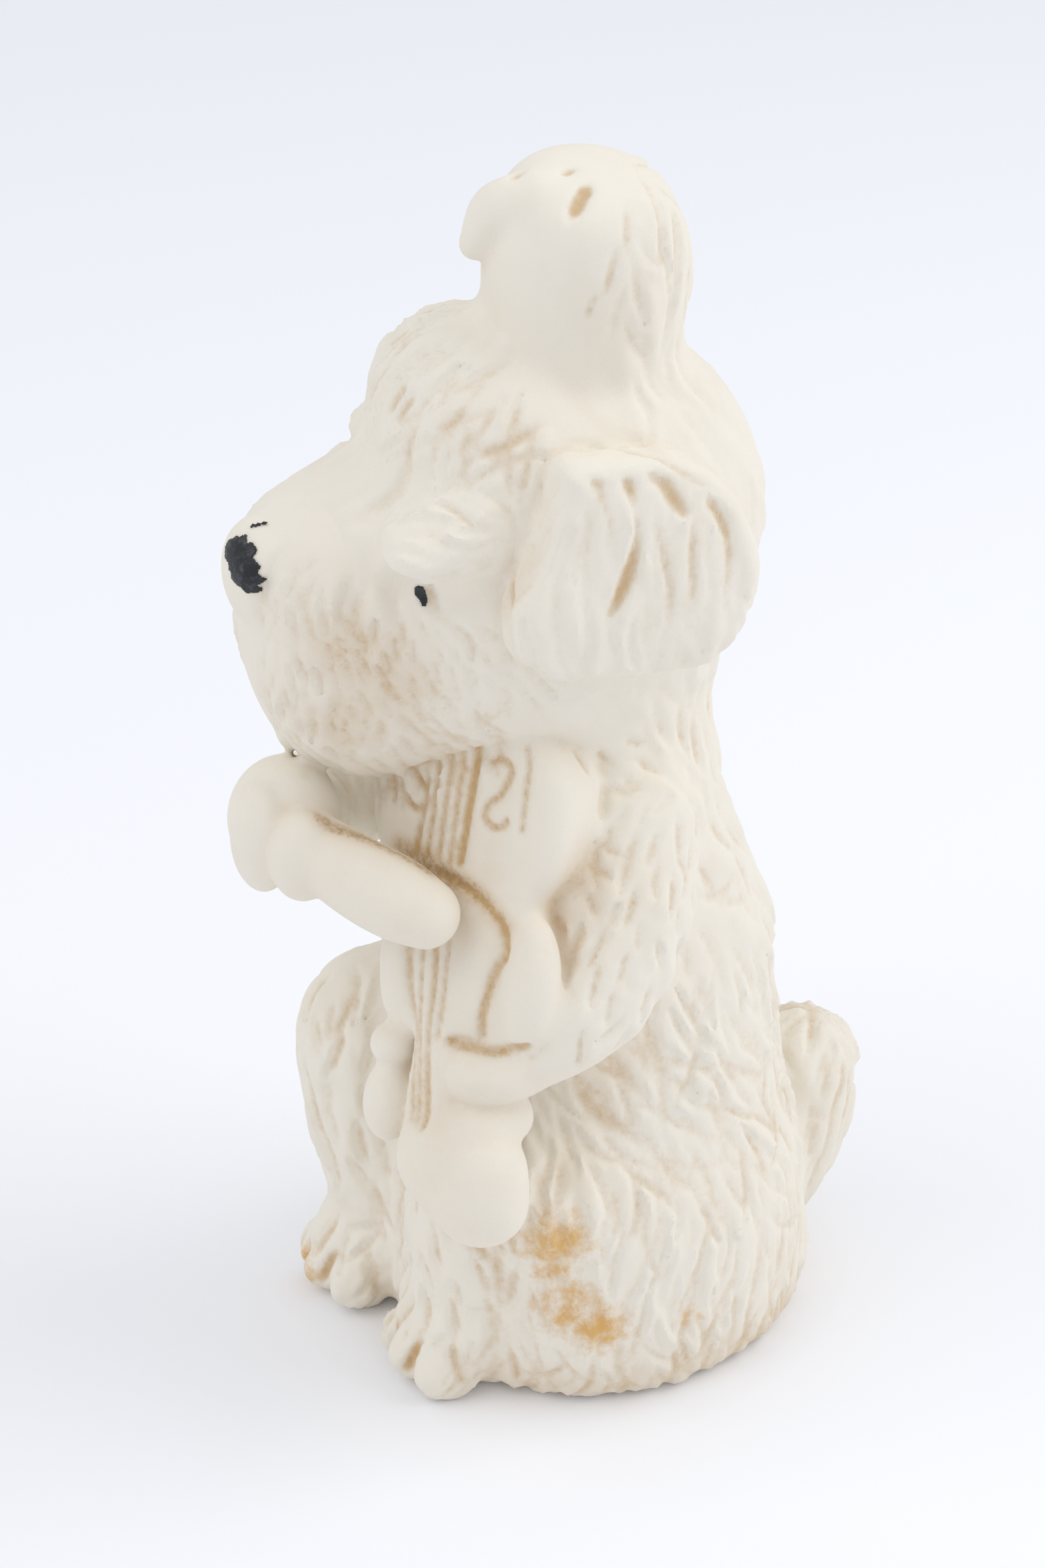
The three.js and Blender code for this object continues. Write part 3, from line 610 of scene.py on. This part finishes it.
# Painted shadow along the waist of the fiddle, under the bow.
smear_tan_and_shade([[-6, 5.6, 0.6], [-1, 4.6, 0.8], [3.4, 3, 0.8], [6.4, 0.7, 0.8]], 1.7, 0.85, FIDDLE_AT, FIDDLE_TURN)
# Painted shade on the chest and the left shoulder, under the chin.
smear_tan_and_shade([[13, -6, 62], [16, -3, 58], [15, -4, 52]], 5, 0.62)
# Painted shade round the foot of the body, where it meets the table.
smear_tan_and_shade([[22 * math.cos(a), 6.5 + 22 * math.sin(a), 1] for a in np.linspace(0, 2 * math.pi, 24)], 5.0, 0.5)
# Painted shadow on the flank, under the left arm and the fiddle's neck.
smear_tan_and_shade([[17.6, -4, 36], [18, 0, 40], [18.6, -6, 30]], 4.5, 0.5)

# ------------------------------------------------------------------ combing
# The tool is drawn over the clay: each stroke follows the lie of the hair on the surface, and either cuts a
# groove or lifts a small tuft. The uncut clay is kept, to tell how deep the wash can settle.
smooth = clay.field.copy()


BIGGEST_BALL = 1.7
STEP = 0.42


def ball(gathered, centre, radius):
    cells, (x, y, z) = clay.window(centre - radius - 1.2, centre + radius + 1.2)
    gap = np.sqrt((x - centre[0]) ** 2 + (y - centre[1]) ** 2 + (z - centre[2]) ** 2) - radius
    np.minimum(gathered[cells], gap, out=gathered[cells])


def draw(points, width, depth, raised, taper, pressed=None):
    """One stroke: balls along the surface that bite less at the ends."""
    radius = min((width ** 2 / 4 + depth ** 2) / (2 * depth), BIGGEST_BALL)
    t = np.linspace(0, 1, len(points))
    press = np.minimum(1, np.minimum(t, 1 - t) / taper + 0.3) * (1 if pressed is None else pressed)
    if raised:
        press *= np.clip((points[:, 2] - 1.2) / 3, 0, 1)
    lift = (radius - depth) * press * (-1 if raised else 1)
    centres = points + clay.outward(points, smooth) * lift[:, None]
    # In a crease the ball is too large for the far wall, so it shrinks until it bites no deeper there.
    radii = np.minimum(radius * press, np.abs(clay.depth(centres, smooth)) + 1.3 * depth * press)
    for centre, size in zip(centres, radii):
        ball(clay.tufts if raised else clay.grooves, centre, size)


def surface_points(piece):
    cells = np.argwhere((np.abs(smooth) < 0.6 * CELL) & (clay.owner == clay.pieces.index(piece)))
    return clay.settle(clay.low + CELL * cells, smooth)


def comb_out(piece, flow, spacing, length, width, depth, where, raised, seed):
    chance = np.random.default_rng(seed)
    places = surface_points(piece)
    if where is not None:
        places = places[where(places - belly)]
    places = places[chance.permutation(len(places))]
    seeds = []
    free = np.ones(len(places), bool)
    for i in range(len(places)):
        if free[i]:
            seeds.append(places[i])
            free &= ((places - places[i]) ** 2).sum(1) > spacing ** 2
    points = np.array(seeds)
    if not len(points):
        return
    size = chance.uniform(0.7, 1.25, len(points))
    bend = chance.normal(0, 0.03, len(points))
    off = chance.normal(0, 0.15, len(points))
    path = [points]
    for i in range(int(1.35 * length / STEP)):
        normal = clay.outward(points, smooth)
        way = flow(points - belly)
        way = way - (way * normal).sum(1, keepdims=True) * normal
        way /= np.maximum(np.linalg.norm(way, axis=1, keepdims=True), 1e-6)
        swing = (off + bend * i)[:, None]
        way = way * np.cos(swing) + np.cross(normal, way) * np.sin(swing)
        points = points + STEP * way
        points = points - clay.depth(points, smooth)[:, None] * clay.outward(points, smooth)
        path.append(points)
    path = np.array(path)
    leaps = np.linalg.norm(np.diff(path, axis=0), axis=2) > 1.6 * STEP
    sound_steps = np.vstack([leaps, np.ones((1, len(seeds)), bool)]).argmax(0) + 1
    lifted = chance.random(len(seeds)) < raised
    for i in range(len(seeds)):
        count = min(max(int(size[i] * length / STEP), 3), sound_steps[i])
        draw(path[:count, i], width * (0.8 + 0.3 * size[i]) * (1.5 if lifted[i] else 1), depth * size[i],
             lifted[i], 0.4)


for combing in combings:
    comb_out(**combing)
for points, width, depth, taper in lines:
    run = np.linalg.norm(np.diff(points[:, :3], axis=0), axis=1).cumsum()
    even = np.arange(0, run[-1], 0.25)
    points = np.stack([np.interp(even, [0, *run], points[:, k]) for k in range(4)], 1)
    settled = clay.settle(points[:, :3], smooth)
    steady = np.linalg.norm(settled - points[:, :3], axis=1) < 2.5
    draw(settled[steady], width, depth, False, taper, points[steady, 3])

clay.field = soft_least(clay.field, clay.tufts, 1.0)
clay.field = -soft_least(-clay.field, clay.grooves, 0.3)

# The foot is ground flat, so that the seat stands level.
_, (_, _, height) = clay.window(clay.low, clay.low + CELL * np.array(clay.field.shape))
clay.field = np.maximum(clay.field, -height.astype(np.float32))

# ------------------------------------------------------------------ parting
# The clay is skinned, and the skin is parted into the luted pieces, each closed where it meets the next.
# The joints were wiped over with slip, so the shading runs on across them.
grid = openvdb.FloatGrid(float(REACH))
grid.copyFromArray(clay.field)
grid.transform = openvdb.createLinearTransform(CELL)
skin, _, quads = grid.convertToPolygons(0.0, 0.0)
skin, quads = np.array(skin, float) + clay.low, np.array(quads)
corner = skin[quads]
across = np.cross(corner[:, 2] - corner[:, 0], corner[:, 3] - corner[:, 1])
if (across * clay.outward(corner.mean(1))).sum() < 0:
    quads, across = quads[:, ::-1], -across
normals = np.zeros_like(skin)
for k in range(4):
    np.add.at(normals, quads[:, k], across)
normals /= np.maximum(np.linalg.norm(normals, axis=1, keepdims=True), 1e-9)
cell = np.rint((skin[quads].mean(1) - clay.low) / CELL).astype(int)
label = clay.owner[tuple(cell.T)].astype(int)

# A quad takes the piece that most of its neighbours have, which smooths the lines where the pieces part.
sides = np.sort(np.concatenate([quads[:, [k, (k + 1) % 4]] for k in range(4)]), 1)
order = np.lexsort((sides[:, 1], sides[:, 0]))
same = (sides[order[1:]] == sides[order[:-1]]).all(1)
next_to = np.stack([order[:-1][same] % len(quads), order[1:][same] % len(quads)], 1)
for _ in range(12):
    votes = np.zeros((len(quads), len(clay.pieces)), np.int16)
    np.add.at(votes, (next_to[:, 0], label[next_to[:, 1]]), 2)
    np.add.at(votes, (next_to[:, 1], label[next_to[:, 0]]), 2)
    votes[np.arange(len(quads)), label] += 3
    label = votes.argmax(1)

# Scraps that lie apart from the rest of their piece go to the piece around them.
leader = np.arange(len(quads))
alike = next_to[label[next_to[:, 0]] == label[next_to[:, 1]]]
while True:
    lowest = leader.copy()
    np.minimum.at(lowest, alike[:, 0], leader[alike[:, 1]])
    np.minimum.at(lowest, alike[:, 1], leader[alike[:, 0]])
    lowest = lowest[lowest]
    if (lowest == leader).all():
        break
    leader = lowest
chunk, size = np.unique(leader, return_counts=True)
for scrap in chunk[np.argsort(size)]:
    mine = leader == scrap
    if mine.sum() >= 0.5 * (label == label[scrap]).sum():
        continue
    inner, outer = mine[next_to], ~mine[next_to]
    beside = np.concatenate([label[next_to[inner[:, k] & outer[:, 1 - k], 1 - k]] for k in (0, 1)])
    if len(beside):
        label[mine] = np.bincount(beside).argmax()


def blurred(field, reach):
    """The field averaged over a box of cells, twice."""
    width = max(int(round(reach / CELL)), 1)
    for _ in range(2):
        for axis in range(3):
            total = np.cumsum(field, axis=axis, dtype=np.float64)
            cell = np.arange(field.shape[axis])
            ahead = np.take(total, np.minimum(cell + width, field.shape[axis] - 1), axis)
            behind = np.take(total, np.maximum(cell - width - 1, 0), axis)
            field = ((ahead - behind) / (2 * width + 1)).astype(np.float32)
    return field


wide = blurred(clay.field, 1.3)
cut = np.clip(-clay.depth(skin, smooth) / 0.35, -1, 1.5)
hollow = np.clip(-clay.depth(skin, wide) / 0.8, -1, 1)
# Wash and painted shade laid along the marked curves, at each point of the skin.
tan_and_shade = np.zeros(len(skin))
for points, reach, amount in tan_and_shade_smears:
    points = along(points, 6) + belly
    for a, b in zip(points[:-1], points[1:]):
        t = np.clip((skin - a) @ (b - a) / ((b - a) @ (b - a) + 1e-9), 0, 1)[:, None]
        gap = np.linalg.norm(skin - a - t * (b - a), axis=1)
        tan_and_shade = np.maximum(tan_and_shade, amount * np.exp(-(gap / reach) ** 2))


def closed_piece(name, faces):
    """A piece from its part of the skin. An open edge gets a lip inwards and, where there is room, a cap."""
    used, index = np.unique(faces, return_inverse=True)
    index = index.reshape(-1, 4)
    edges = np.concatenate([index[:, [k, (k + 1) % 4]] for k in range(4)])
    key = np.sort(edges, 1)
    _, first, count = np.unique(key, axis=0, return_index=True, return_counts=True)
    rim = edges[first[count == 1]]
    points = list(skin[used])
    group = {}

    def root(i):
        while group.setdefault(i, i) != i:
            i = group[i]
        return i

    for a, b in rim:
        group[root(a)] = root(b)
    loops, caps = {}, []
    for a, b in rim:
        loops.setdefault(root(a), []).append((a, b))
    for loop in loops.values():
        ends = sorted({end for edge in loop for end in edge})
        below = skin[used[ends]] - 0.5 * normals[used[ends]]
        middle = below.mean(0)
        rings = [below]
        for part in (0.08, 0.25, 0.5, 0.75):
            sunk = below + (middle - below) * part
            for _ in range(6):
                sunk = sunk - np.clip(clay.depth(sunk) + 1.2, 0, 0.5)[:, None] * clay.outward(sunk)
            rings.append(sunk)
        sound = all((clay.depth((a + b) / 2) < -0.25).all()
                    for a, b in zip(rings[1:], rings[2:] + [rings[-1][::-1]]))
        ring = dict(zip(ends, ends))
        for sunk in rings if sound else rings[:1]:
            inner = {end: len(points) + i for i, end in enumerate(ends)}
            points += list(sunk)
            caps += [(ring[b], ring[a], inner[a], inner[b]) for a, b in loop]
            ring = inner
        if sound:
            points.append(rings[-1].mean(0))
            caps += [(ring[b], ring[a], len(points) - 1) for a, b in loop]
    mesh = bpy.data.meshes.new(name)
    mesh.from_pydata(np.array(points) / METRE, [], [*map(tuple, index), *caps])
    spare = len(points) - len(used)
    for key, values in (("cut", cut), ("hollow", hollow), ("tan_and_shade", tan_and_shade)):
        layer = mesh.attributes.new(key, "FLOAT", "POINT")
        layer.data.foreach_set("value", np.concatenate([values[used], np.zeros(spare)]).astype(np.float32))
    mesh.polygons.foreach_set("use_smooth", np.ones(len(mesh.polygons), bool))
    facing = np.vstack([normals[used], np.tile([0, 0, 1.0], (spare, 1))])
    mesh.normals_split_custom_set_from_vertices(facing)
    made = bpy.data.objects.new(name, mesh)
    bpy.context.scene.collection.objects.link(made)
    return made


# ------------------------------------------------------------------ bisque
# Fired clay with no glaze: a dry warm white with a fine tooth. A thin tan wash was brushed on and wiped off,
# so it stays in the cuts. The same tan over the broad hollows is partly wash and partly painted shade, and
# the tan along the marked curves is mostly painted shade. A few orange stains of iron came through in the
# firing.


def linear(r, g, b):
    return (*[c / 255 / 12.92 if c < 10 else ((c / 255 + 0.055) / 1.055) ** 2.4 for c in (r, g, b)], 1)


class Wire:
    """A socket of a shader. Sums on it add Math nodes."""

    def __init__(self, tree, socket):
        self.tree, self.socket = tree, socket

    def node(self, kind, settings=None, output=0, **inputs):
        node = self.tree.nodes.new("ShaderNode" + kind)
        for key, value in (settings or {}).items():
            setattr(node, key, value)
        for key, value in inputs.items():
            key = int(key[1:]) if key[1:].isdigit() else key.replace("_", " ")
            if isinstance(value, Wire):
                self.tree.links.new(value.socket, node.inputs[key])
            else:
                node.inputs[key].default_value = value
        return Wire(self.tree, node.outputs[output] if len(node.outputs) else None)

    def sum(self, operation, a, b):
        return self.node("Math", {"operation": operation}, _0=a, _1=b)

    def __add__(self, other):
        return self.sum("ADD", self, other)

    def __radd__(self, other):
        return self.sum("ADD", other, self)

    def __sub__(self, other):
        return self.sum("SUBTRACT", self, other)

    def __rsub__(self, other):
        return self.sum("SUBTRACT", other, self)

    def __mul__(self, other):
        return self.sum("MULTIPLY", self, other)

    def __rmul__(self, other):
        return self.sum("MULTIPLY", other, self)

    def over(self, low, high):
        """0 below low, 1 above high."""
        settings = {"interpolation_type": "SMOOTHSTEP"}
        return self.node("MapRange", settings, Value=self, From_Min=low, From_Max=high)

    def mixed(self, a, b):
        """Colour a where this is 0, b where it is 1."""
        settings = {"data_type": "RGBA", "clamp_factor": True}
        return self.node("Mix", settings, output=2, Factor=self, _6=a, _7=b)


def new_material(name):
    material = bpy.data.materials.new(name)
    material.use_nodes = True
    material.node_tree.nodes.clear()
    return material, Wire(material.node_tree, None)


bisque, w = new_material("bisque")
place = w.node("TexCoord", output=3)
cut_by = w.node("Attribute", {"attribute_name": "cut"}, output=2)
hollow_by = w.node("Attribute", {"attribute_name": "hollow"}, output=2)
tan_and_shade_by = w.node("Attribute", {"attribute_name": "tan_and_shade"}, output=2)
WARM, BRIGHT = linear(238, 231, 216), linear(243, 238, 227)
# The two tans serve for the wash and also for painted shade in hollows and creases.
WASH_AND_SHADE_TAN, THICK_WASH_AND_SHADE, IRON = linear(204, 172, 126), linear(168, 138, 100), linear(218, 166, 74)
cloud = w.node("TexNoise", Vector=place, Scale=110.0, Detail=5.0, Roughness=0.65)
speck = w.node("TexNoise", Vector=place, Scale=1500.0, Detail=3.0, Roughness=0.7)
grain = w.node("TexNoise", Vector=place, Scale=4200.0, Detail=2.0, Roughness=0.6)
dusting = cloud.over(0.35, 0.75) * 0.12
# Tan over the broad hollows of the clay: partly wash, partly painted shade.
hollow_wash_and_shade = (hollow_by * 0.9 + (speck - 0.5) * 0.3).over(0.05, 1.1) * 0.42
caught = (cut_by + (speck - 0.5) * 0.7 + (cloud - 0.5) * 1.0).over(0.2, 1.7) * 0.8
# Tan along the marked curves: thick wash in a few places, painted shade in the creases and under parts.
tan_smear_and_shade = (tan_and_shade_by * (0.88 + speck * 0.24) + hollow_by * 0.3 * tan_and_shade_by).over(0.02, 1.25)
clean = cloud.mixed(WARM, BRIGHT)
stained_and_shaded = (caught + hollow_wash_and_shade + dusting + tan_smear_and_shade * 0.75).mixed(clean, WASH_AND_SHADE_TAN)
# Where those curves are marked hardest it goes darker: thick wash on the bow, painted shade in the deepest
# creases.
thick = (tan_and_shade_by * (0.4 + speck * 1.2)).over(0.55, 1.05)
stained_and_shaded = (thick * 0.8).mixed(stained_and_shaded, THICK_WASH_AND_SHADE)
ragged = w.node("TexNoise", Vector=place, Scale=520.0, Detail=4.0, Roughness=0.7)
orange = None
for x, y, z, size in ((20.4, -8.8, 22.4, 3.6), (20.8, -7.6, 13.8, 3.4), (20.9, -3.8, 11.2, 2.8),
                      (20.4, -9.4, 18.6, 2.6), (20.6, 5.8, 10.4, 1.7), (-12, -20.5, 2.6, 2.4)):
    centre = (np.array([x, y, z]) + belly) / METRE
    gap = w.node("VectorMath", {"operation": "DISTANCE"}, output=1, _0=place, _1=tuple(centre))
    blot = (1 - gap * (METRE / size) * 0.6 + (ragged - 0.5) * 1.5).over(0.1, 0.95)
    orange = blot if orange is None else w.sum("MAXIMUM", orange, blot)
colour = (orange * 0.85).mixed(stained_and_shaded, IRON)
bump = w.node("Bump", Height=grain * 0.6 + speck, Strength=0.16, Distance=0.0002)
shade = w.node("BsdfPrincipled", Base_Color=colour, Roughness=0.82, Normal=bump, Specular_IOR_Level=0.25)
shade.node("OutputMaterial", Surface=shade)

for i, name in enumerate(clay.pieces):
    piece = closed_piece(name + "_bisque", quads[label == i])
    piece.data.materials.append(bisque)
    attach(piece, "root")
    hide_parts(name)

# ------------------------------------------------------------------ nose and eyes
# Black enamel, touched on after the firing. It doesn't key to the bisque, so on the nose it has chipped back
# to a ragged patch and one sliver.
enamel, w = new_material("black enamel")
place = w.node("TexCoord", output=3)
wear = w.node("TexNoise", Vector=place, Scale=1300.0, Detail=3.0)
colour = wear.over(0.5, 0.75).mixed(linear(22, 23, 27), linear(70, 70, 76))
bump = w.node("Bump", Height=wear, Strength=0.5, Distance=0.0003)
shade = w.node("BsdfPrincipled", Base_Color=colour, Roughness=0.38, Normal=bump)
shade.node("OutputMaterial", Surface=shade)


def flake(name, at, facing, outlines, pitch, thick=0.14):
    """Flakes of enamel laid on the clay, with outlines drawn square to `facing` and cells of `pitch`."""
    facing = HEAD_TURN @ (np.array(facing, float) / np.linalg.norm(facing))
    right = np.cross([0, 0, 1.0], facing)
    right /= np.linalg.norm(right)
    above = np.cross(facing, right)
    outlines = [np.array(outline, float) for outline in outlines]
    low, high = np.vstack(outlines).min(0) - pitch, np.vstack(outlines).max(0) + pitch
    us, vs = np.arange(low[0], high[0], pitch), np.arange(low[1], high[1], pitch)
    u, v = np.meshgrid(us, vs, indexing="ij")
    middle = belly + HEAD_AT + HEAD_TURN @ np.array(at) + 2.5 * facing
    points = (middle + u[..., None] * right + v[..., None] * above).reshape(-1, 3)
    for _ in range(14):
        points = points - clay.depth(points)[:, None] * 0.8 * facing
    outward = clay.outward(points)
    inside = np.zeros((len(us) - 1, len(vs) - 1), bool)
    cu, cv = u[:-1, :-1] + pitch / 2, v[:-1, :-1] + pitch / 2
    for outline in outlines:
        for (ax, ay), (bx, by) in zip(outline, np.roll(outline, -1, 0)):
            inside ^= ((ay > cv) != (by > cv)) & (cu < ax + (cv - ay) * (bx - ax) / (by - ay + 1e-9))
    index = np.arange(len(points)).reshape(len(us), len(vs))
    i, j = np.nonzero(inside)
    faces = np.stack([index[i, j], index[i + 1, j], index[i + 1, j + 1], index[i, j + 1]], 1)
    mesh = bpy.data.meshes.new(name)
    mesh.from_pydata((points + 0.02 * outward) / METRE, [], faces.tolist())
    made = bpy.data.objects.new(name, mesh)
    bpy.context.scene.collection.objects.link(made)
    bpy.context.view_layer.objects.active = made
    skin_up = made.modifiers.new("thickness", "SOLIDIFY")
    skin_up.thickness, skin_up.offset = thick / METRE, 1
    mesh.materials.append(enamel)
    mesh.polygons.foreach_set("use_smooth", np.ones(len(mesh.polygons), bool))
    return made


nose = flake("nose_enamel", [1.5, -31.3, 1.5], [0.62, -1, 0.3], [
    [[-2.1, 1.4], [-1.4, 1.8], [-1.2, 2.1], [-0.7, 2.1], [-0.2, 2.5], [0.2, 1.9], [0.7, 2.0], [1.4, 1.5],
     [1.2, 0.9], [2.1, 0.3], [2.0, -0.3], [2.4, -0.9], [1.9, -1.5], [2.0, -2.2], [0.9, -2.4], [0.5, -1.9],
     [0.1, -2.0], [-0.9, -1.6], [-0.8, -1.1], [-1.3, -0.9], [-1.4, -0.3], [-2.1, -0.2], [-2.4, 0.7]],
    [[-0.2, 3.0], [0.8, 3.4], [0.9, 3.5], [0.2, 3.3], [-0.3, 3.1]]], pitch=0.11)
eye_outline = [[-0.5, 0.8], [-0.2, 1.1], [0.2, 0.9], [0.3, 0.2], [0.45, -0.4], [0.4, -1.0], [0.1, -0.9],
               [-0.15, -0.3], [-0.5, 0.2]]
left_eye, right_eye = [
    flake(name, [side * 11.8, -18.9, 2.2], [side, -0.66, 0.1], [[[side * u, v] for u, v in eye_outline]],
          pitch=0.08)
    for side, name in ((1, "left_eye_enamel"), (-1, "right_eye_enamel"))]
for piece, node in ((nose, "nose"), (left_eye, "left_eye"), (right_eye, "right_eye")):
    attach(piece, "root")
    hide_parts(node)

# ------------------------------------------------------------------ table, lights and camera
# A white table in a bright room. One soft light stands behind the dog on its left, like a window, and a
# larger one hangs above and in front of it.
paper, w = new_material("white paper")
shade = w.node("BsdfPrincipled", Base_Color=linear(250, 251, 254), Roughness=0.9)
shade.node("OutputMaterial", Surface=shade)
bpy.ops.mesh.primitive_plane_add(size=4)
floor = bpy.context.object
floor.name = "table"
floor.data.materials.append(paper)

world = bpy.data.worlds.new("studio")
world.use_nodes = True
world.node_tree.nodes["Background"].inputs["Color"].default_value = linear(243, 245, 250)
world.node_tree.nodes["Background"].inputs["Strength"].default_value = 0.79
bpy.context.scene.world = world

target = (belly + [-0.68, -1.34, 61.4]) / METRE
azimuth, elevation, away = math.radians(63), math.radians(30), 0.356
back = np.array([math.sin(azimuth) * math.cos(elevation), -math.cos(azimuth) * math.cos(elevation),
                 math.sin(elevation)])


def lamp(name, direction, distance, size, power):
    light = bpy.data.lights.new(name, "AREA")
    light.size, light.energy = size, power
    made = bpy.data.objects.new(name, light)
    made.location = Vector(target) + Vector(direction).normalized() * distance
    made.rotation_euler = Vector(direction).to_track_quat("Z", "Y").to_euler()
    bpy.context.scene.collection.objects.link(made)


lamp("window", (0.5, 1.0, 1.0), 0.6, 0.45, 1.15)
lamp("overhead", (-0.1, -0.8, 1.0), 0.7, 0.5, 0.9)

camera = bpy.data.objects.new("camera", bpy.data.cameras.new("camera"))
camera.data.lens, camera.data.sensor_width = 85, 36
camera.location = target + away * back
camera.rotation_euler = Vector(-back).to_track_quat("-Z", "Y").to_euler()
camera.data.clip_start, camera.data.clip_end = 0.01, 20
bpy.context.scene.collection.objects.link(camera)
bpy.context.scene.camera = camera
bpy.context.scene.view_settings.view_transform = "Standard"
